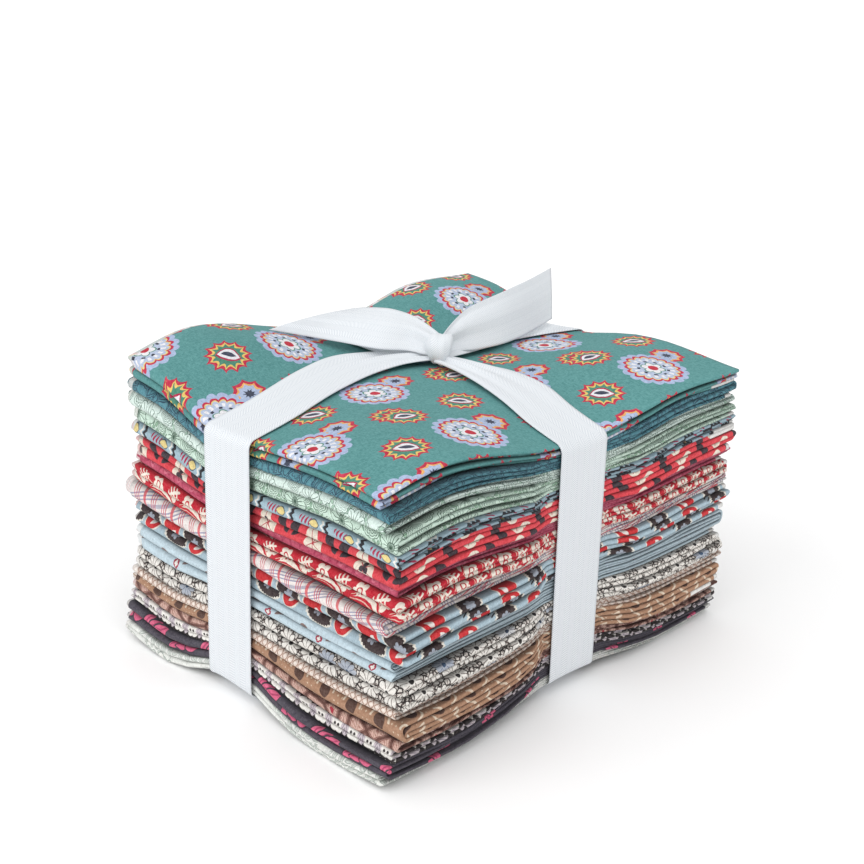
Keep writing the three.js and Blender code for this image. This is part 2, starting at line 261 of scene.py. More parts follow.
def fold_cut(name, layers, thickness, reach, seed, side_fold="round", cells=(16, 22)):
    """One cut, folded and laid under the cuts that lie on it already. thickness is the loose
    thickness at the left, front and right corners, and reach is how far it stands proud at
    the front, at the left, at the right's near and far ends and at the back, in millimetres.
    layers is 4 where it is folded back and forth along its length, and 2 where in half."""
    global loose_above
    rng = np.random.default_rng(seed)
    front, left, right, far_right, back = (r / 1000 for r in reach)
    back_and_forth, in_half = (0, 1, 2, 3), (0, 3, 2, 1)
    u_order = back_and_forth if side_fold == "zigzag" else in_half
    v_order = back_and_forth if layers == 4 else in_half
    u_part, u_pos, u_from, u_to, u_turn = fold_stations(u_order, cells[0], turn_cells=6)
    v_part, v_pos, v_from, v_to, v_turn = fold_stations(v_order, cells[1], turn_cells=12)
    nu, nv = len(u_part), len(v_part)
    column = lambda values: np.broadcast_to(values[:, None], (nu, nv))
    row = lambda values: np.broadcast_to(values[None, :], (nu, nv))
    x_way = column(u_pos)
    y_way = -row(v_pos)

    # Sixteen levels, with the layers turned over at each fold along the cut.
    last_quarter = np.clip((np.abs(x_way) - 0.75) / 0.25, 0, 1)
    puff = 1 + FOLD_PUFF * last_quarter ** 2
    turned = (1 - np.cos(column(u_turn))) / 2
    offset = (column(u_from) + (column(u_to) - column(u_from)) * turned - 1.5) * puff
    flip = np.where(row(v_part) % 2 == 0, 1.0, -1.0)
    level_from = 4 * row(v_from) + 2 + flip * offset
    level_to = 4 * row(v_to) + 2 - flip * offset
    level_mid = np.where(row(v_turn) > 0, (level_from + level_to) / 2, level_from)
    level = level_mid + (level_from - level_mid) * np.cos(row(v_turn))
    turn_radius = np.abs(level_from - level_mid) * np.sin(row(v_turn))

    def in_stack(x, y):
        """How high a place lies in the stack, and the cut's share of it."""
        share = loose_thickness(thickness, x, y) / loose_thickness(LOOSE_HEIGHT, x, y)
        top = 1 - loose_thickness(loose_above, x, y) / loose_thickness(LOOSE_HEIGHT, x, y)
        return top - share * (1 - level / LEVELS), share

    def held_in(reach, face, under_ribbon):
        """The ribbon holds the folds back to one even face where it passes over them."""
        return reach + (np.minimum(reach, face) - reach) * under_ribbon

    def stops_short(raw, least, most, slack, uneven):
        """How far a raw edge stops short of the folds."""
        return np.where(raw, least + most * slack * (1 + uneven), 0)

    # The place in plan, before the turns' own bulge.
    x = x_way * FOLDED_WIDTH / 2
    y = y_way * FOLDED_LENGTH / 2
    strip = row(v_part + (1 - np.cos(v_turn)) / 2 * (v_turn > 0))
    sheet_part = column(u_part + (1 - np.cos(u_turn)) / 2 * (u_turn > 0))
    shift = np.interp(strip, range(5), rng.uniform(-1, 1, 5)) * OUT_OF_LINE
    slack = rng.uniform(0.2, 1, 8)
    side = right + (far_right - right) * (0.5 + y / FOLDED_LENGTH)
    x_reach = FOLDED_WIDTH / 2 + np.where(x_way > 0, side, left)
    x_reach = x_reach + shift + SIDE_WAVE * ripple(seed, (y, 0.13), (strip, 3.1)) - SIDE_TURN
    raw_side = (x_way < 0) & ((sheet_part < 0.5) | (sheet_part > 3.0))
    x_reach -= stops_short(raw_side, 0.0015, 0.0035, slack[(sheet_part > 2).astype(int)],
                           0.6 * ripple(seed + 5, (y, 0.21)))
    side_line = 0.007 + 0.003 * in_stack(x, y)[0]
    x_reach = held_in(x_reach, HELD_SIDE, near_ribbon(y, side_line))
    x = x_way * x_reach
    y_reach = FOLDED_LENGTH / 2 + np.where(y_way < 0, front, back)
    y_reach += END_WAVE * ripple(seed + 3, (x, 0.17), (strip, 2.3))
    y_reach += SKEW * rng.uniform(-1, 1) * x / (FOLDED_WIDTH / 2)
    raw_end = (y_way > 0) & ((strip < 0.5) | (strip > 3.0))
    y_reach -= stops_short(raw_end, 0.001, 0.004, slack[2 + (strip > 2).astype(int)],
                           0.8 * ripple(seed + 7, (x, 0.25)))
    front_line, back_line = -0.020 + 0.0095 * in_stack(x, y)[0], -0.014
    y_reach = held_in(y_reach, np.where(y < 0, HELD_FRONT, HELD_BACK),
                      near_ribbon(x, np.where(y < 0, front_line, back_line)))

    # The turns bulge out to that reach, each as deep as its layers are thick.
    y_edge = y_way * y_reach
    full = stack_height(1.0, x, y_edge) - stack_height(0.0, x, y_edge)
    one_level = full * in_stack(x, y_edge)[1] / LEVELS
    levels_turned = 8 if layers == 2 else 4
    y = y_way * (y_reach - levels_turned * one_level * END_ROUND)
    y += np.sign(y_way) * turn_radius * one_level * END_ROUND
    x_turn = np.abs(column(u_to) - column(u_from)) / 2 * np.sin(column(u_turn))
    x += np.sign(x_way) * x_turn * one_level * SIDE_ROUND
    at, share = in_stack(x, y)
    wander = LAYER_WANDER * ripple(seed + 11, (x, 0.12), (y, 0.15), (level, 26.0))
    inside = np.clip(np.minimum(level, LEVELS - level) / 2, 0, 1)
    at += share * wander * inside / LEVELS
    z = stack_height(at, x, y)

    # Painted shade for the dim light between layers: how deep each place lies in behind the cut's
    # own edges, kept on the cloth so that its material darkens it there.
    side_depth = (x_reach + SIDE_TURN - np.abs(x)) / (2 * SIDE_TURN)
    end_depth = (y_reach - np.abs(y)) / END_SHADE
    below_top = np.clip((1 - at) * 50, 0, 1)
    painted_gap_shade = np.clip(np.minimum(side_depth, end_depth), 0, 1) * below_top

    # Real lengths along the cloth, so that the print keeps its size round the folds.
    def cloth_lengths(axis, whole):
        step = np.sqrt(sum(np.diff(c, axis=axis) ** 2 for c in (x, y, z)))
        step = np.quantile(step, 0.8, axis=1 - axis)
        length = np.concatenate([[0], np.cumsum(step)])
        return length * whole / length[-1]

    flat = [cloth_lengths(axis, CUT_SIZE[axis]) for axis in (0, 1)]
    cut = make_sheet(
        "folded_" + name, np.stack([x + SET_OVER[0], y + SET_OVER[1], z], -1).reshape(-1, 3),
        grid_faces(nu, nv), "flat_cloth",
        np.stack(np.meshgrid(*flat, indexing="ij"), -1).reshape(-1, 2), CLOTH_THICKNESS, 1)
    # The painted shade goes onto the cloth as one value at each point.
    painted_gap_shade_values = cut.data.attributes.new("painted_gap_shade", "FLOAT", "POINT")
    painted_gap_shade_values.data.foreach_set("value", painted_gap_shade.ravel())
    loose_above = loose_above + np.array(thickness)
    return cut


class Drawn:
    """A value drawn over the cloth, in millimetres or as a mask or colour, by shader nodes."""

    def __init__(self, socket):
        self.socket = socket

    __add__ = __radd__ = lambda self, other: reckon("ADD", self, other)
    __mul__ = __rmul__ = lambda self, other: reckon("MULTIPLY", self, other)
    __sub__ = lambda self, other: reckon("SUBTRACT", self, other)
    __rsub__ = lambda self, other: reckon("SUBTRACT", other, self)
    __truediv__ = lambda self, other: reckon("DIVIDE", self, other)
    __abs__ = lambda self: reckon("ABSOLUTE", self)


def node_beside(kind, *values):
    """A new node in the tree in which the values are drawn."""
    drawn = next(v for v in values if isinstance(v, Drawn))
    return drawn.socket.id_data.nodes.new("ShaderNode" + kind)


def feed(value, socket):
    """Links a drawn value to a socket, or sets a plain one on it."""
    if isinstance(value, Drawn):
        socket.id_data.links.new(value.socket, socket)
    else:
        socket.default_value = value


def reckon(kind, *values):
    node = node_beside("Math", *values)
    node.operation = kind
    for value, socket in zip(values, node.inputs):
        feed(value, socket)
    return Drawn(node.outputs[0])


def parts_of(drawn, kind):
    """The parts of a drawn colour or place."""
    node = node_beside("Separate" + kind, drawn)
    feed(drawn, node.inputs[0])
    return [Drawn(s) for s in node.outputs]


def filled(inside, soft=0.22):
    """A mask from a distance in millimetres that is above 0 inside the drawn shape."""
    mask = reckon("MULTIPLY_ADD", inside, 1 / soft, 0.5)
    mask.socket.node.use_clamp = True
    return mask


def outlined(inside, width):
    return filled(width / 2 - abs(inside))


def both(*masks):
    return reduce(lambda one, other: one * other, masks)


def either(*masks):
    return reduce(lambda one, other: reckon("MAXIMUM", one, other), masks)


def linear(hex_colour):
    """A colour as given, turned into the shader's linear light."""
    parts = [int(hex_colour[i:i + 2], 16) / 255 for i in (0, 2, 4)]
    return [p / 12.92 if p <= 0.04045 else ((p + 0.055) / 1.055) ** 2.4 for p in parts] + [1.0]


def ink(under, mask, colour):
    """Prints one colour over another where the mask is 1."""
    node = node_beside("Mix", under, mask, colour)
    node.data_type = "RGBA"
    feed(mask, node.inputs["Factor"])
    for value, socket in ((under, node.inputs[6]), (colour, node.inputs[7])):
        feed(linear(value) if isinstance(value, str) else value, socket)
    return Drawn(node.outputs[2])


def fill_in(colour, *shapes):
    """Prints drawn shapes one over another, each in its own colour."""
    for inside, shade in shapes:
        colour = ink(colour, filled(inside), shade)
    return colour


def stencil(name, gives, **takes):
    """A reusable piece of a print: a node group with named inputs and outputs. The function
    under it draws it once, and is then called to press it at a drawn place."""
    takes = {"across": 0, "along": 0, **takes}

    def make(draw):
        group = bpy.data.node_groups.new(name, "ShaderNodeTree")
        for label, start in takes.items():
            socket = group.interface.new_socket(
                name=label.title(), in_out="INPUT", socket_type="NodeSocketFloat")
            socket.default_value = start
        for label in gives:
            group.interface.new_socket(
                name=label, in_out="OUTPUT", socket_type="NodeSocketFloat")
        entry = group.nodes.new("NodeGroupInput")
        leave = group.nodes.new("NodeGroupOutput")
        drawn = draw(*[Drawn(s) for s in entry.outputs[:len(takes)]])
        for value, socket in zip(drawn, leave.inputs):
            feed(value, socket)

        def press(*values, **named):
            node = node_beside("Group", *values)
            node.node_tree = group
            for label, value in {**dict(zip(takes, values)), **named}.items():
                feed(value, node.inputs[label.title()])
            return [Drawn(s) for s in node.outputs]

        return press

    return make


@stencil("print_repeat", ["Across", "Along", "Chance"], wide=20, high=20, shift=0.5)
def repeat(across, along, wide, high, shift):
    """The place within a repeat of the print, and a chance of that repeat's own."""
    row = reckon("FLOOR", along / high)
    moved = across + wide * shift * reckon("PINGPONG", row, 1.0)
    cell = reckon("FLOOR", moved / wide)
    chance = reckon("FRACT", reckon("SINE", cell * 12.9898 + row * 78.233) * 4375.85)
    return moved - (cell + 0.5) * wide, along - (row + 0.5) * high, chance


@stencil("blossom", ["Inside", "From Middle", "Angle"], petals=5, reach=5, cut=0.3, turn=0)
def blossom(across, along, petals, reach, cut, turn):
    far = reckon("SQRT", across * across + along * along)
    angle = reckon("ARCTAN2", along, across) + turn
    wave = abs(reckon("COSINE", angle * petals / 2))
    edge = reach * (1 - cut + cut * reckon("POWER", wave, 0.7))
    return edge - far, far, angle


@stencil("leaf", ["Inside", "Along Rib", "Off Rib"], length=10, breadth=4, turn=0, bend=0)
def leaf(across, along, length, breadth, turn, bend):
    c, s = reckon("COSINE", turn), reckon("SINE", turn)
    x = across * c + along * s
    y = along * c - across * s
    y = y + bend * (x * x / length - length * 0.1)
    t = x * 2 / length
    return (1 - t * t) * breadth * 0.5 - abs(y), x, y


def in_steps(across, along, size):
    """A place on the cloth for a texture whose pattern is one step wide."""
    node = node_beside("CombineXYZ", across)
    feed(across / size, node.inputs["X"])
    feed(along / size, node.inputs["Y"])
    return Drawn(node.outputs[0])


@stencil("hand_wander", ["Across", "Along"], amount=0.5, size=6)
def wander(across, along, amount, size):
    """Moves each place a little, as in a design drawn by hand."""
    noise = node_beside("TexNoise", across)
    noise.noise_dimensions = "2D"
    set_values(noise, Detail=1.0, Scale=1.0)
    feed(in_steps(across, along, size), noise.inputs["Vector"])
    red, green, _ = parts_of(Drawn(noise.outputs["Color"]), "Color")
    return across + (red - 0.5) * amount * 2, along + (green - 0.5) * amount * 2


@stencil("crackle", ["Inside", "Chance"], size=3)
def crackle(across, along, size):
    """Cells like pebbles or crossing leaves: how far inside a cell, and the cell's chance."""
    at = in_steps(across, along, size)
    found = []
    for feature, output in (("DISTANCE_TO_EDGE", "Distance"), ("F1", "Color")):
        cells = node_beside("TexVoronoi", across)
        cells.voronoi_dimensions = "2D"
        cells.feature = feature
        set_values(cells, Scale=1.0)
        feed(at, cells.inputs["Vector"])
        found.append(Drawn(cells.outputs[output]))
    return found[0] * size, parts_of(found[1], "Color")[0]


@stencil("plain_weave", ["Height", "Thread"], pitch=0.45)
def weave(across, along, pitch):
    """Plain weave: each thread goes over one and under the next, and no two are quite alike."""
    warp = reckon("SINE", across * math.pi / pitch)
    weft = reckon("SINE", along * math.pi / pitch)
    thread = (crackle(across * 1.9, along * 0.7, size=1.0)[1]
              + crackle(across * 0.7, along * 1.9, size=1.0)[1])
    return abs(warp) * 0.5 + abs(weft) * 0.5 + warp * weft * 0.4, thread * 0.5


@stencil("selvage", ["Unprinted", "Edge Cord"], whole=CUT_SIZE[1] * 1000, first=22, last=22)
def selvage(across, along, whole, first, last):
    """The unprinted edges at both ends of the cloth's width, each of its own breadth."""
    uneven = reckon("SINE", across * 0.9) * 0.25
    from_last = whole - along
    edges = [filled(broad - at + uneven, 0.4) for broad, at in ((first, along), (last, from_last))]
    return either(*edges), filled(3.0 - reckon("MINIMUM", along, from_last), 0.6)


def flat_place(tree, flat_map):
    """A place on the flat cloth, in millimetres."""
    node = tree.nodes.new("ShaderNodeUVMap")
    node.uv_map = flat_map
    x, y, _ = parts_of(Drawn(node.outputs[0]), "XYZ")
    return x * 1000, y * 1000


def finish_sheet(sheet, finish, colour, height, strength, distance):
    """Gives a sheet a finish with a colour and a raised weave."""
    shader = finish.node_tree.nodes["Principled BSDF"]
    feed(colour, shader.inputs["Base Color"])
    bump = node_beside("Bump", height)
    set_values(bump, Strength=strength, Distance=distance)
    feed(height, bump.inputs["Height"])
    feed(Drawn(bump.outputs[0]), shader.inputs["Normal"])
    sheet.data.materials.append(finish)


SELVAGE_WHITE, WRONG_SIDE_WHITE, WRONG_SIDE_FADE = "f6f5f2", "f1eeea", 0.55
# How much the weave and uneven threads darken the print, and how much painted shade darkens it
# where the light between layers is dim.
WEAVE_SHADE, THREAD_SHADE, PAINTED_GAP_SHADE, THREAD_GLEAM = 0.05, 0.28, 0.88, 0.05


def dress_cut(cut, draw_print, selvages=(5, 3)):
    """Gives a cut its printed face, its white selvages, its paler wrong side and painted shade in
    the gaps between its layers.
    """
    group = bpy.data.node_groups.new(cut.name + "_print", "ShaderNodeTree")
    for label, kind in (("Colour", "Color"), ("Weave", "Float")):
        group.interface.new_socket(name=label, in_out="OUTPUT", socket_type="NodeSocket" + kind)
    x, y = flat_place(group, "flat_cloth")
    colour = draw_print(x, y)
    unprinted, cord = selvage(x, y, first=selvages[0], last=selvages[1])
    threads, thread = weave(x, y)
    painted_gap_shade = group.nodes.new("ShaderNodeAttribute")
    painted_gap_shade.attribute_name = "painted_gap_shade"
    colour = ink(colour, unprinted, SELVAGE_WHITE)
    colour = ink(colour, threads * WEAVE_SHADE + thread * THREAD_SHADE, "0d0e12")
    colour = ink(colour, (1 - thread) * THREAD_GLEAM, "fbfaf6")
    # Painted shade: darkens the colour where the cloth lies deep between layers, in place of the
    # dim light there.
    colour = ink(colour, Drawn(painted_gap_shade.outputs["Fac"]) * PAINTED_GAP_SHADE, "121015")
    leave = group.nodes.new("NodeGroupOutput")
    feed(colour, leave.inputs["Colour"])
    feed(threads + cord * 0.8, leave.inputs["Weave"])
    for side in ("face", "wrong_side"):
        cotton = new_finish(f"{cut.name}_{side}", Roughness=0.86, Specular_IOR_Level=0.15,
                            Sheen_Weight=0.04, Sheen_Roughness=0.5)
        printed = cotton.node_tree.nodes.new("ShaderNodeGroup")
        printed.node_tree = group
        colour, height = [Drawn(s) for s in printed.outputs]
        if side == "wrong_side":
            colour = ink(colour, WRONG_SIDE_FADE, WRONG_SIDE_WHITE)
        finish_sheet(cut, cotton, colour, height, 0.35, 0.00012)
    node = cut.name.removeprefix("folded_")
    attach(cut, "root")
    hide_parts(node)


def on_folds(y, high):
    """Brings the middle of a row to each front fold, a quarter of the cloth apart."""
    return y + (0.5 * high - CUT_SIZE[1] * 250) % high


def rows_on_folds(x, y, wide, high, **shift):
    return repeat(x, on_folds(y, high), wide, high, **shift)


def paisley_rosette_print(x, y):
    x, y = wander(x, y, 0.6, 5)
    colour = "5a9c9b"
    for over, up, turn in ((40, 23, 0.9), (39, -26, 1.9), (5, 52, 1.4)):
        a, b, _ = repeat(x - over, y - up, 79, 74.5)
        rim = blossom(a * 1.12, b, petals=13, reach=12, cut=-0.27, turn=turn)[0]
        colour = fill_in(colour, (rim, "cc2549"), (rim - 2.3, "f5cf72"), (rim - 4.0, "4a8f78"))
        drop = leaf(a, b, length=13.5, breadth=8, turn=turn, bend=0.5)[0]
        colour = fill_in(colour, (drop + 1.3, "b81f4c"), (drop, "f6f5fa"), (drop - 2.2, "3b4258"))
    a, b, _ = repeat(x, y, 79, 74.5)
    head = blossom(a + 9, b - 17, petals=9, reach=9.5, cut=-0.2, turn=0.2)[0]
    colour = fill_in(colour, (head, "cc2549"), (head - 2.2, "f3b668"), (head - 3.6, "b7c6e4"),
                     (head - 7.4, "3b4258"))
    body, far, angle = blossom(a, b * 1.06 + 7, petals=17, reach=21.5, cut=0.12, turn=0)
    colour = fill_in(colour, (body, "b4c5e6"), (body - 3.6, "cc2549"), (body - 5.4, "f1d98f"),
                     (body - 6.4, "c2cfe8"))
    rays = both(filled(reckon("COSINE", angle * 17) - 0.2, 0.4), outlined(far - 11.4, 3.0))
    colour = ink(colour, rays, "f8f7fb")
    spots = both(outlined(far - 9.0, 1.7), filled(reckon("COSINE", angle * 9) - 0.45, 0.3))
    colour = ink(colour, spots, "23283c")
    heart = blossom(a, b * 1.06 + 7, petals=6, reach=6.8, cut=0.4, turn=0.4)[0]
    return fill_in(colour, (heart + 0.9, "4a8f78"), (heart, "f8f7fb"), (3.1 - far, "cc1f3a"))


dress_cut(fold_cut("teal_rosette_cut", 4, (11.5, 7, 6.6), (-6, -6, -9, 3, 9.5), seed=1,
                   cells=(24, 30)),
          paisley_rosette_print, selvages=(22, -2))

# ---- steel blue with scrolls
# Cotton printed with fine dark scrolls on a steel blue ground. It is folded in half first, so
# that only one round fold shows at the front.


def scroll_print(x, y):
    x, y = wander(x, y, 2.4, 11)
    a, b, _ = repeat(x, y, 19, 13)
    curl = blossom(a, b, petals=6, reach=6, cut=0.22, turn=0.4)[0]
    stem = crackle(x, y, size=6.5)[0]
    lines = either(outlined(curl, 0.45), outlined(curl - 2.7, 0.4), outlined(stem - 0.5, 0.4))
    return ink("5592a0", lines, "15304a")


dress_cut(fold_cut("steel_blue_cut", 2, (5.6, 4.4, 8.2), (-5, -5, -1, 4, 9.5), seed=2),
          scroll_print)

# ---- mint garden
# Pale mint cotton with line-drawn garden flowers and patches of small leaves in dark green,
# folded like the one above.


def small_leaves(x, y, size):
    """Close small leaves, each turned its own way: their bodies and their drawn lines."""
    a, b, chance = repeat(x, y, size, size * 0.8)
    blade, _, off = leaf(a, b, length=size * 1.15, breadth=size * 0.55, turn=chance * 3.1)
    return filled(blade), either(outlined(blade, 0.3), both(filled(blade), outlined(off, 0.2)))


def garden_print(x, y, ground, shade, line):
    x, y = wander(x, y, 1.5, 9)
    dense = filled(crackle(x, y, size=19)[1] - 0.40, 0.04)
    body, drawn = small_leaves(x, y, 3.3)
    colour = ink(ground, both(dense, body), shade)
    colour = ink(colour, both(dense, drawn), line)
    a, b, chance = repeat(x + 3, y, 13, 11)
    curl = blossom(a, b, petals=7, reach=5.6, cut=0.2, turn=chance)[0]
    rings = both(filled(curl), filled(0.2 - abs(reckon("WRAP", curl, 0.65, -0.65)), 0.3))
    colour = ink(colour, filled(curl + 0.2), ground)
    rings = both(rings, filled(0.7 - chance, 0.05))
    colour = ink(colour, either(outlined(curl, 0.35), rings), line)
    a, b, _ = repeat(x, y, 37, 26)
    flower, far, angle = blossom(a, b, petals=8, reach=8.5, cut=0.28, turn=0.2)
    rays = far * abs(reckon("SINE", angle * 8)) / 8
    colour = ink(colour, filled(flower), ground)
    petals = both(filled(flower - 0.8), filled(0.16 - rays))
    lines = either(outlined(flower, 0.4), outlined(far - 2.2, 0.4), petals)
    return ink(colour, lines, line)


dress_cut(fold_cut("mint_cut", 2, (8.2, 5.6, 4.8), (-4.5, -4.5, -3, 3, 10), seed=3),
          lambda x, y: garden_print(x, y, "e8faf2", "c6e8d2", "3a5f50"))

# ---- sage garden
# The same garden cotton as above in a second, greener colour. It is folded in half too, and
# lies under the mint cut with its folds a little further in.

dress_cut(fold_cut("sage_cut", 2, (8.4, 8.2, 5), (-6, -7, 1, 4, 9), seed=4),
          lambda x, y: garden_print(x + 37, y + 19, "dcf5e5", "b2dabc", "315441"))

# ---- grey blue with dashes
# Grey blue cotton printed with rows of slanting crimson dashes, black zigzags and small
# yellow ovals. It is folded in half first, so that only one round fold shows at the front.


def dash_print(x, y):
    x, y = wander(x, y, 0.3, 5)
    a, b, _ = rows_on_folds(x, y, 27, 13)
    near = reckon("WRAP", a, 1.3, -1.3)
    dash = leaf(near, b + a * 0.05, length=7.5, breadth=1.3, turn=1.05)[0]
    dashes = both(filled(dash), filled(6.4 - abs(a + 4), 0.1))
    colour = ink("aac6d3", dashes, "b3204d")
    for over, half, tall, shade in ((9.3, 1.2, 4.8, "1e1e26"), (6.4, 0.8, 3.4, "f4f1ea")):
        side = abs(a - over - reckon("PINGPONG", b, 1.6))
        colour = ink(colour, both(filled(half - side), filled(tall - abs(b))), shade)
    a, b, _ = rows_on_folds(x + 8, y, 27, 26)
    oval = leaf(a - 9, b, length=8, breadth=5.6)[0]
    return fill_in(colour, (oval, "4d6171"), (oval - 0.7, "f2dc94"))


dress_cut(fold_cut("grey_dash_cut", 2, (8.4, 5.2, 5.6), (-5, -5, 4.5, 6, 7), seed=5),
          dash_print, selvages=(20, 3))

# ---- coral with leaf pairs
# Coral red cotton with pairs of charcoal leaves and cream bell flowers. It is folded back and
# forth, so two round folds show at the front.


def leaf_pair_print(x, y):
    x, y = wander(x, y, 0.4, 4)
    a, b, _ = rows_on_folds(x, y, 40, 17.47)
    away = abs(a) - 5.5
    dark = leaf(away, b, length=11, breadth=6, turn=0.75, bend=0.3)[0]
    colour = ink("e8434f", filled(dark), "3d2f38")
    a, b, chance = repeat(x + 20, on_folds(y, 17.47) + 2, 40, 17.47)
    bell, far, angle = blossom(a, b + 1.5, petals=3, reach=7.5, cut=0.35, turn=-1.57)
    colour = ink(colour, filled(bell), "f6ead9")
    rays = far * abs(reckon("SINE", angle * 3)) / 3
    colour = ink(colour, both(filled(bell - 1.4), filled(0.22 - rays)), "c3283f")
    return ink(colour, both(filled(bell - 4.2), filled(chance - 0.5, 0.05)), "3d2f38")


dress_cut(fold_cut("coral_leaf_cut", 4, (9.6, 12, 13.4), (-6.5, -5, 2.5, 6.5, 7.5), seed=6),
          leaf_pair_print, selvages=(3, 24))

# ---- rose tone on tone
# Rose cotton printed with small buds in two more tones of the same rose. It is folded in
# half and pressed thinner than its neighbours.


def tonal_print(x, y):
    x, y = wander(x, y, 1.5, 8)
    leaves = crackle(x * 0.7, y, size=4.5)[0]
    a, b, _ = repeat(x, y, 13, 10.2)
    bud = blossom(a, b, petals=5, reach=4.4, cut=0.3, turn=0.5)[0]
    colour = fill_in("cb5471", (0.45 - leaves, "b73b5d"), (bud, "d97189"))
    return ink(colour, outlined(bud - 1.5, 0.6), "b73b5d")


dress_cut(fold_cut("rose_cut", 2, (4.6, 4.6, 6), (-8, -5, -1, 3, 8), seed=7),
          tonal_print)

# ---- crimson with cream flowers
# Crimson cotton printed with cream flowers, slit buds and curved vines. It is folded back
# and forth, so two round folds show at the front.


def cream_flower_print(x, y):
    x, y = wander(x, y, 0.5, 4)
    a, b, _ = rows_on_folds(x, y, 29, 13.0)
    flower, far, _ = blossom(a - 8.5, b, petals=5, reach=5.2, cut=0.4, turn=0.3)
    colour = ink("cc0f2c", filled(flower), "fbf0e2")
    colour = ink(colour, outlined(far - 1.6, 0.8), "cc0f2c")
    bud, rib, off = leaf(a + 6, b - 0.3, length=12.5, breadth=7.5, turn=0.5, bend=0.3)
    slits = filled(abs(reckon("WRAP", rib, 1.2, -1.2)) - 0.7)
    colour = ink(colour, both(filled(bud), either(slits, filled(0.7 - abs(off)))), "fbf0e2")
    vine = leaf(a, b + 5.2, length=25, breadth=2.2, turn=-0.3, bend=0.8)[0]
    colour = ink(colour, filled(vine), "fbf0e2")
    return ink(colour, outlined(vine + 1.4, 0.5), "f0c6b4")


dress_cut(fold_cut("crimson_vine_cut", 4, (8.4, 11, 9.2), (-4.5, -4.5, 4, 5, 5), seed=8),
          cream_flower_print, selvages=(16, 3))

# ---- cream plaid
# Cream cotton with a plaid of red, pink and grey blue lines. It is folded in half first,
# and its one fold at the front is large and loose.


def plaid_print(x, y):
    x, y = wander(x, y, 5, 60)

    def lines(at, pitch, places, width):
        at = reckon("WRAP", at, pitch / 2, -pitch / 2)
        return either(*[outlined(at - place, width) for place in places])

    steep = x + y * 0.22
    red = lines(steep, 25.4, (-10.4, -8.6, -6.8, 5.0, 6.8, 8.6), 0.7)
    bold = lines(steep, 25.4, (-1.5,), 2.3)
    cross = y - x * 0.35
    blue = lines(cross, 22.4, (-7.0, -5.2, -3.4, 3.4, 5.2, 7.0), 0.75)
    broad = lines(cross, 22.4, (0,), 2.0)
    colour = ink("f9f1ed", blue * 0.75, "7c82ac")
    colour = ink(colour, broad * 0.6, "8488ab")
    colour = ink(colour, red * 0.85, "d63c58")
    return ink(colour, bold * 0.85, "e24a55")


dress_cut(fold_cut("cream_plaid_cut", 2, (12.4, 6.8, 5), (-1, 1.5, -2.5, 3.5, 7), seed=9),
          plaid_print)

# ---- light blue with bold leaves
# Light blue cotton printed with large dark leaves, saw-toothed in cream, and red buds. It is
# folded back and forth, so two round folds show at the front.


def bold_leaf_print(x, y):
    x, y = wander(x, y, 0.3, 5)
    a, b, _ = rows_on_folds(x, y, 42, 26.6)
    dark, rib, _ = leaf(a + 6, b, length=24, breadth=13.5, turn=-0.35)
    teeth = reckon("PINGPONG", rib, 0.9) - 0.45
    bloom = blossom(a + 6, b, petals=6, reach=3.6, cut=0.45, turn=0.2)[0]
    bud = leaf(a - 14, b - 1, length=17, breadth=14.5, turn=1.1, bend=0.4)[0]
    seed = leaf(a - 15.4, b + 1, length=7, breadth=3.0, turn=0.8)[0]
    colour = fill_in("b3cad6", (dark + 1.5 + teeth, "f1ece0"), (dark + teeth, "3a2a2b"),
                     (bloom, "a3abb8"), (bud + 1.1, "f1ece0"), (bud, "d7282f"), (seed, "f6f0ea"))
    near = abs(reckon("WRAP", a + b * 0.5, 1.3, -1.3))
    mark = both(filled(0.45 - near), filled(2.4 - abs(b - 8)), filled(3.0 - abs(a)))
    return ink(colour, mark, "2c2a30")


dress_cut(fold_cut("bold_blue_cut", 4, (13.2, 13.8, 11.6), (-4.5, -2, 6, 7.5, 4.5), seed=10),
          bold_leaf_print)

# ---- pale blue, sparsely printed
# Light blue cotton, nearly plain, with a few small printed sprigs. It is folded back and
# forth along its length and across it too.


def sparse_print(x, y):
    x, y = wander(x, y, 0.5, 5)
    a, b, _ = repeat(x, y, 43, 24.3)
    sprig = leaf(a - 2, b, length=9, breadth=3.4, turn=0.4, bend=0.5)[0]
    seed = blossom(a + 7, b + 3, petals=4, reach=2.6, cut=0.3)[0]
    a, b, _ = repeat(x + 20, y + 11, 43, 24.3)
    twig = leaf(a, b, length=7, breadth=2.2, turn=-0.7)[0]
    return fill_in("cee2ec", (sprig, "8d7671"), (seed, "b2344c"), (seed - 1.2, "f3efe8"),
                   (twig, "473b40"))


dress_cut(fold_cut("pale_blue_cut", 4, (13.2, 10.2, 17), (-4.5, -2, 0, 4, 6.5), seed=11,
                   side_fold="zigzag"),
          sparse_print)

# ---- cream daisies
# Cotton crowded with printed cream daisies and small leaves, drawn in dark brown lines. It
# is folded back and forth.


def daisy_print(x, y):
    x, y = wander(x, y, 1.2, 9)
    leaves = crackle(x, y, size=2.6)[0]
    colour = ink("2b2220", filled(leaves - 0.42), "e9e2da")
    a, b, chance = rows_on_folds(x, y, 15.5, 12.15)
    daisy, far, angle = blossom(a, b, petals=10, reach=7.0, cut=0.35, turn=chance * 3)
    rays = far * abs(reckon("COSINE", angle * 5)) / 5
    colour = fill_in(colour, (daisy + 0.5, "2b2220"), (daisy, "f7f3ec"))
    colour = ink(colour, both(filled(far - 2.2), filled(0.2 - rays, 0.3)), "6b5b56")
    colour = ink(colour, filled(1.4 - far), "1d1718")
    tint = both(filled(chance - 0.9, 0.02), filled(daisy))
    return ink(colour, tint * 0.55, "5d7fa8")


dress_cut(fold_cut("daisy_cut", 4, (13.2, 14, 11.6), (-4, -0.5, 5, 6.5, 4), seed=12),
          daisy_print)

# ---- pinkish cream with scales
# Pinkish cream cotton printed all over with small tan arcs like fish scales. It is folded
# in half and pressed thin.


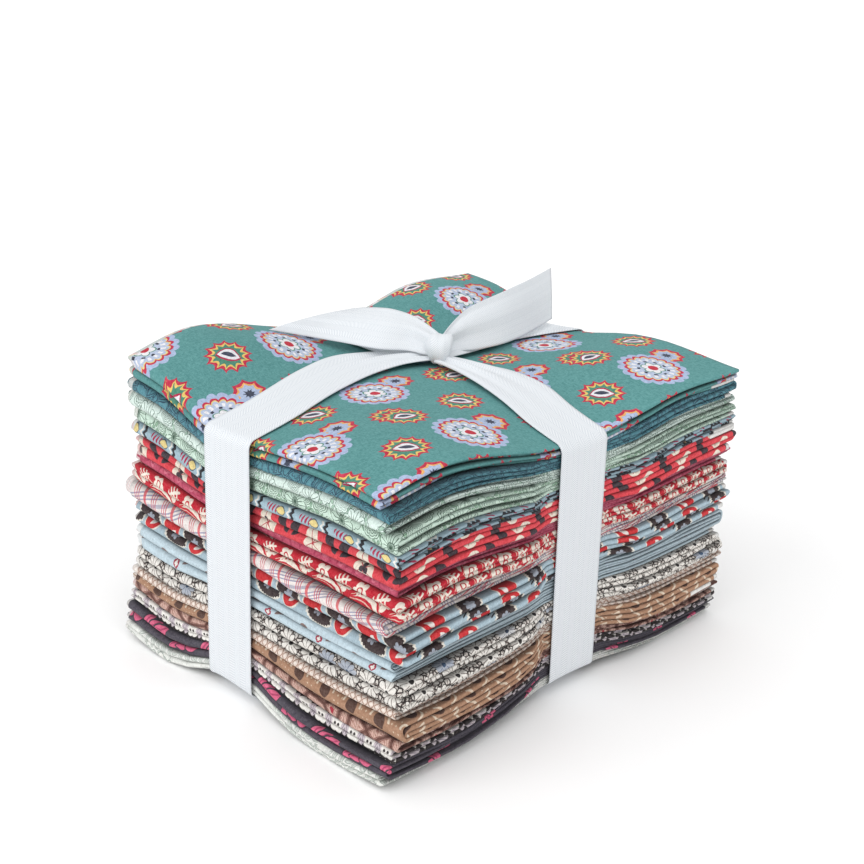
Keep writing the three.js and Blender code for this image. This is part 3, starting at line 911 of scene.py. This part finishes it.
def scale_print(x, y):
    x, y = wander(x, y, 0.3, 6)
    a, b, _ = repeat(x, y, 4.6, 2.5)
    far = reckon("SQRT", a * a + b * b * 1.6)
    colour = ink("f3e2d6", outlined(far - 1.9, 0.6), "a9826f")
    return ink(colour, filled(0.7 - far), "fbf1e8")


dress_cut(fold_cut("pink_lattice_cut", 2, (4.6, 4.4, 6), (-3.5, 2, 1, 4.5, 6), seed=13),
          scale_print)

# ---- tan with dots
# Tan cotton printed with dark brown dots, cream crescents and tiny cream specks. It is
# folded in half first, and stands out furthest at the right.


def dot_print(x, y):
    x, y = wander(x, y, 0.6, 6)
    a, b, _ = rows_on_folds(x, y, 21, 12.15)
    dot, far, _ = blossom(a, b, petals=5, reach=3.8, cut=0.06)
    colour = ink("b58a6d", filled(dot), "5a3c31")
    moon = both(outlined(far - 6.4, 1.3), filled(b - 0.5))
    colour = ink(colour, moon, "ecd9c2")
    a, b, _ = repeat(x, y, 3.1, 3.1)
    speck = 0.42 - reckon("SQRT", a * a + b * b)
    return ink(colour, both(filled(speck), filled(far - 7.6)), "e6cfb4")


dress_cut(fold_cut("tan_dot_cut", 2, (4.8, 9.8, 12), (-3.5, 4, 7, 7.5, 2.5), seed=14),
          dot_print, selvages=(22, 3))

# ---- brown with pebbles
# Brown cotton printed with pinkish pebbles, each filled with fine lines. It is folded in
# half first, so that only one round fold shows at the front.


def pebble_print(x, y):
    x, y = wander(x, y, 0.8, 7)
    pebble, pick = crackle(x * 0.72, y, size=8.6)
    fine, spare = wander(x, y, 1.5, 3)
    veins = filled(reckon("SINE", (fine + spare) * 3.2) - 0.5, 0.6)
    colour = ink("6b4239", filled(pebble - 0.8), "dcb8aa")
    colour = ink(colour, both(filled(pebble - 1.3), veins) * 0.85, "a26c60")
    colour = ink(colour, outlined(pebble - 1.1, 0.4), "80493f")
    return ink(colour, both(filled(pebble - 2.8), filled(pick - 0.78, 0.02)), "b2243c")


dress_cut(fold_cut("brown_pebble_cut", 2, (5.2, 5, 5.6), (-3, 5, 5, 6, 3.5), seed=15),
          pebble_print, selvages=(3, 16))

# ---- dark with tulip rows
# Dark brown cotton printed with close rows of white tulips, striped half ovals and small
# teeth. It is folded back and forth, with a row of tulips on each fold.


def tulip_row_print(x, y):
    a, b, _ = rows_on_folds(x, y, 12.7, 20.7, shift=0)
    tulip = blossom(a, b - 1, petals=4, reach=5.2, cut=0.3, turn=0.785)[0]
    eye = blossom(abs(a) - 1.3, b - 1, reach=0.85, cut=0)[0]
    half, rib, off = leaf(abs(a) - 6.35, b - 1, length=9, breadth=5.8, turn=1.57)
    lined = filled(0.25 - abs(reckon("WRAP", off + rib * 0.3, 0.7, -0.7)))
    teeth_below = reckon("PINGPONG", x, 2.1) - 0.2 - abs(b + 6.3)
    teeth_above = reckon("PINGPONG", x + 1, 2.1) - 0.4 - abs(b - 7.5)
    colour = fill_in("241a1b", (tulip, "faf7f1"), (eye, "2f2424"), (half, "d8cdd3"))
    colour = ink(colour, both(filled(half - 0.4), lined), "8f8590")
    return fill_in(colour, (teeth_below, "f8f5ef"), (teeth_above, "d8cdd3"))


dress_cut(fold_cut("black_border_cut", 4, (6.6, 7.4, 5.8), (-2, 6, 2, 5, 4), seed=16),
          tulip_row_print)

# ---- charcoal with pink petals
# Charcoal purple cotton printed with wide-set groups of three pink petals. It is folded
# back and forth, and lifts off the table under the ribbon.


def three_petal_print(x, y):
    x, y = wander(x, y, 0.5, 5)
    a, b, _ = rows_on_folds(x, y, 51, 37.3)
    colour = "4d4854"
    for over, turn, bend in ((-6.4, 0.9, -0.4), (0, 0.55, -0.5), (6.4, 0.25, -0.6)):
        petal, _, off = leaf(a - over, b, length=12.5, breadth=6.2, turn=turn, bend=bend)
        colour = fill_in(colour, (petal + 0.9, "3a3340"), (petal, "e8698f"))
        colour = ink(colour, both(filled(petal - 0.6), filled(0.45 - abs(off - 1.0))), "b8406b")
    return colour


dress_cut(fold_cut("charcoal_scallop_cut", 4, (12, 6.4, 5.4), (1.5, 8.5, 3.5, 3, 5), seed=17),
          three_petal_print)

# ---- white with line flowers
# The lowest cut, which rests on the table: white cotton printed with flowers and leaves in
# soft grey green lines. It is folded back and forth.


def sketch_print(x, y):
    x, y = wander(x, y, 2.0, 12)
    dense = filled(crackle(x, y, size=22)[1] - 0.4, 0.05)
    body, drawn = small_leaves(x, y, 5.4)
    colour = ink("f1f3ee", both(dense, body) * 0.5, "c9d3cb")
    colour = ink(colour, both(dense, drawn) * 0.85, "74847c")
    a, b, _ = repeat(x, y, 37, 27.95)
    rose, far, _ = blossom(a, b, petals=6, reach=11, cut=0.25, turn=0.2)
    colour = ink(colour, filled(rose), "f4f5f0")
    lines = either(outlined(rose, 0.5), outlined(rose - 3.2, 0.45), outlined(far - 2.8, 0.45))
    return ink(colour, lines * 0.8, "7f8e87")


dress_cut(fold_cut("white_line_cut", 4, (7.3, 5.6, 5.4), (2, 10, -1, -1, 6), seed=18),
          sketch_print)

# ---- the ribbon that ties it all
# One length of soft white cotton ribbon with a herringbone weave. It goes round the bundle
# lengthwise and crosswise, its four arms gather into a small knot on top, and its two free
# ends are left long: one lies to the left, cut on the slant, and one stands on its edge.

RIBBON_WIDTH = 0.038
RIBBON_THICKNESS = 0.0005
RIBBON_TURN = 0.0042  # how round it lies over the bundle's edges
KNOT = Vector((-0.004, 0.0160, 0.1758))
ribbon_places, ribbon_faces, ribbon_flat = [], [], []
ribbon_used = 0.0


def smooth_between(stops, at):
    """A smooth curve through rows of numbers; the first number of each row is its place."""
    stops = np.array(stops, dtype=float)
    at = np.clip(at, stops[0, 0], stops[-1, 0])
    return curve_weights(stops[:, 0], at) @ stops[:, 1:]


def lay_ribbon(places):
    """Adds a run of ribbon from a grid of places: along it, then from edge to edge."""
    global ribbon_used
    count, wide = places.shape[:2]
    steps = np.linalg.norm(np.diff(places, axis=0), axis=2).max(1)
    along = ribbon_used + np.concatenate([[0], np.cumsum(steps)])
    ribbon_used = along[-1] + 0.01
    ribbon_faces.extend(grid_faces(count, wide) + len(ribbon_places))
    ribbon_places.extend((places + [SET_OVER[0], SET_OVER[1], 0]).reshape(-1, 3))
    across = np.linspace(0, RIBBON_WIDTH, wide)
    ribbon_flat.extend((x, y) for y in along for x in across)


def ribbon_round(lengthwise, reaches, lean, arms):
    """One turn of ribbon round the bundle, from the knot over one edge, under the bundle and
    back up to the knot. In millimetres, reaches is how far out its two faces stand and lean
    is its middle line at their feet. arms gives, at places along the top, the middle line,
    the half width, the lift off the cloth and the height of the gathers."""
    turn = RIBBON_TURN
    over_cloth, under_cloth, over_table = 0.0008, 0.0006, 0.0003
    under_lap = 0.0006 if lengthwise else 0.0002
    e = np.linspace(-1, 1, 25)[None, :]
    low, high = (r / 1000 for r in reaches)
    bend = np.linspace(0, math.pi / 2, 7)[1:]
    knot_at = KNOT.y if lengthwise else KNOT.x
    stations = []
    for end, sign in ((low, -1), (high, 1)):
        top_way = np.linspace(knot_at + sign * 0.004, sign * (end - turn), 56)
        rows = [(at, 1.0, 0.0) for at in top_way]
        rows += [(sign * (end - turn + turn * math.sin(b)), 1.0, -turn * (1 - math.cos(b)))
                 for b in bend]
        rows += [(sign * end, 1 - f, -turn * (1 - 2 * f)) for f in np.linspace(0.02, 0.98, 40)]
        rows += [(sign * (end - turn + turn * math.cos(b)), 0.0, turn * (1 - math.sin(b)))
                 for b in bend]
        stations.append(rows)
    under = [(at, 0.0, 0.0) for at in np.linspace(-(low - turn), high - turn, 60)[1:-1]]
    rows = np.array(stations[0] + under + stations[1][::-1])
    at, share, extra = rows.T
    shape = smooth_between(np.array(arms) / 1000, at)
    middle, half, lift, gather = (shape[:, k:k + 1] for k in range(4))
    on_top = (share == 1.0)[:, None]
    foot = np.interp(at, [-low, high], np.array(lean) / 1000)[:, None]
    middle = foot + (middle - foot) * share[:, None]
    half = np.where(on_top, half, RIBBON_WIDTH / 2)
    beside = middle + half * e
    along = np.broadcast_to(at[:, None], beside.shape)
    x, y = (beside, along) if lengthwise else (along, beside)
    top = stack_height(1.0, x, y) + over_cloth
    bottom = np.maximum(net_height(BOTTOM_HEIGHTS, x, y) - under_cloth - under_lap, over_table)
    z = bottom + (top - bottom) * share[:, None] + extra[:, None]
    gather_form = 0.55 + 0.45 * np.cos(e * math.pi * 2.6 + 0.7)
    fade = np.cos(e * math.pi / 2) ** 0.5
    z += on_top * (lift + gather * gather_form * fade)
    places = np.stack([x, y, z], -1)
    return places[:, ::-1] if lengthwise else places


lay_ribbon(ribbon_round(True, (135.9, 137.9), (-20, -15), [
    (-138, -10.5, 19, 0, 0),
    (-100, -13, 19, 0.4, 0.2),
    (-60, -22.5, 17.5, 1.2, 0.5),
    (-30, -28, 16.5, 1.6, 1),
    (-8, -25, 14, 2.2, 1.8),
    (4, -17, 10.5, 2.8, 2.4),
    (14, -8, 6, 3, 2.6),
    (30, -10, 8, 2.4, 2.8),
    (50, -16, 12, 1.8, 2.2),
    (80, -23, 14.5, 1.2, 1.2),
    (110, -21, 16.5, 0.6, 0.6),
    (140, -12.5, 19, 0, 0),
]))
lay_ribbon(ribbon_round(False, (111.9, 111.4), (10, 7), [
    (-112, 10, 19, 0, 0),
    (-60, 11, 17.5, 0.6, 0.6),
    (-30, 13, 13, 1.8, 2.5),
    (-4, 12.5, 6, 3, 3),
    (14, 17.5, 9.5, 2.4, 3),
    (34, 20.5, 15, 1.8, 1.6),
    (60, 18, 18.5, 1.2, 0.6),
    (85, 12.5, 19, 0.4, 0.2),
    (112, 10, 19, 0, 0),
]))


def free_end(edges, belly, rise_way):
    """A loose end: rows of its two edges from the knot outward and of the height of its
    gathers, in millimetres, with a soft belly across it."""
    gathers = 1.5
    stops = [(k, *near, *far, gather) for k, (near, far, gather) in enumerate(edges)]
    at = np.linspace(0, len(edges) - 1, 60)
    shape = smooth_between(stops, at) / 1000
    near, far, gather = shape[:, None, 0:3], shape[:, None, 3:6], shape[:, None, 6:7]
    f = np.linspace(0, 1, 25)[None, :, None]
    swell = np.sin(math.pi * f)
    wave = np.cos(2 * math.pi * (gathers * f + 0.1))
    rise = belly * swell + gather * wave * swell ** 0.5
    return near + (far - near) * f + np.array(rise_way) * rise


lay_ribbon(free_end([
    ((-2, 12, 173), (-4, 19, 182), 1.6),
    ((-9, 7.5, 173.5), (-12, 19.5, 185.5), 1.8),
    ((-18.4, 3.5, 174.5), (-28, 19.5, 190), 1.2),
    ((-30, -9.5, 176), (-40.5, 14.2, 193), 0.7),
    ((-48.4, -18.4, 177.5), (-52, 11, 192.5), 0.4),
    ((-67, -29, 179.5), (-60, 8, 191.5), 0.2),
    ((-84, -46.5, 184), (-66, 5, 190.5), 0),
], 0.0022, (0.45, -0.45, 0.75)))
lay_ribbon(free_end([
    ((-4, 17, 172), (-6, 18, 181), 1.4),
    ((-6, 27, 171), (-13, 34, 185), 1.6),
    ((-4, 37, 170.3), (-15, 48, 190.5), 1.2),
    ((-1.5, 46, 169.8), (-15, 59.5, 193.3), 0.9),
    ((0.5, 69, 169.6), (-15, 84.5, 196.4), 0.5),
    ((-5, 98, 169.6), (-20.5, 113.5, 197.4), 0.3),
    ((-14.5, 129, 169.8), (-30, 144.5, 197.6), 0),
], 0.0010, (0.7, -0.4, 0.6)))


def knot_wrap():
    """The ribbon's last turn, wound over the crossing and turned under itself."""
    knot_radius, tucked_half, open_half, opens_by = 0.0088, 0.0062, 0.0062, 0.0054
    deep_crease, fine_crease, sway = 0.0009, 0.0004, 0.0010
    turn = np.linspace(-0.40 * math.pi, 1.60 * math.pi, 70)[:, None]
    f = np.sin(np.linspace(-0.5, 0.5, 33) * math.pi)[None, :]
    axle = Vector((0.72, 0.62, 0.22)).normalized()
    level = Vector((0, 0, 1)).cross(axle).normalized()
    upright = axle.cross(level)
    open_width = open_half + opens_by * (0.5 + 0.5 * np.sin(turn)) ** 0.8
    crease = (deep_crease * np.cos(f * 4.6 + 0.9 * np.sin(turn))
              + fine_crease * np.cos(f * 9 + turn * 1.3))
    radius = knot_radius * (1 - 0.98 * f ** 4) + crease * (1 - f * f)
    round_x = radius * np.cos(turn) * 1.10
    round_z = radius * np.sin(turn) * 0.98
    rolled_in = f ** 6
    along = (f * (open_width * (1 - rolled_in) + tucked_half * rolled_in)
             + sway * np.sin(turn) * (1 - rolled_in))
    parts = [along * axle[k] + round_x * level[k] + round_z * upright[k] + KNOT[k]
             for k in range(3)]
    return np.stack(parts, -1)


lay_ribbon(knot_wrap())
tied_ribbon = make_sheet("tied_ribbon", np.array(ribbon_places), np.array(ribbon_faces),
                         "flat_ribbon", np.array(ribbon_flat), RIBBON_THICKNESS)


@stencil("herringbone", ["Height"], column=4.75, pitch=1.15)
def herringbone(across, along, column, pitch):
    """Slanting threads that turn back at each column, as in a herringbone tape."""
    side = reckon("PINGPONG", across, column)
    slant = along + side * 0.8
    line = reckon("SINE", slant * 2 * math.pi / pitch)
    groove = filled(0.30 - reckon("MINIMUM", side, column - side), 0.4)
    return [line * 0.5 + 0.5 - groove * 0.1]


tape = new_finish("white_ribbon_cotton", Roughness=0.7, Specular_IOR_Level=0.3)
threads = herringbone(*flat_place(tape.node_tree, "flat_ribbon"))[0]
# The ribbon's colour follows the weave's height: partly the threads' own tone, partly painted
# shade in the hollows between threads and in the grooves between columns.
finish_sheet(tied_ribbon, tape, ink("c3cad1", threads, "f1f3f5"), threads, 0.5, 0.0002)
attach(tied_ribbon, "root")
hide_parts("white_ribbon")

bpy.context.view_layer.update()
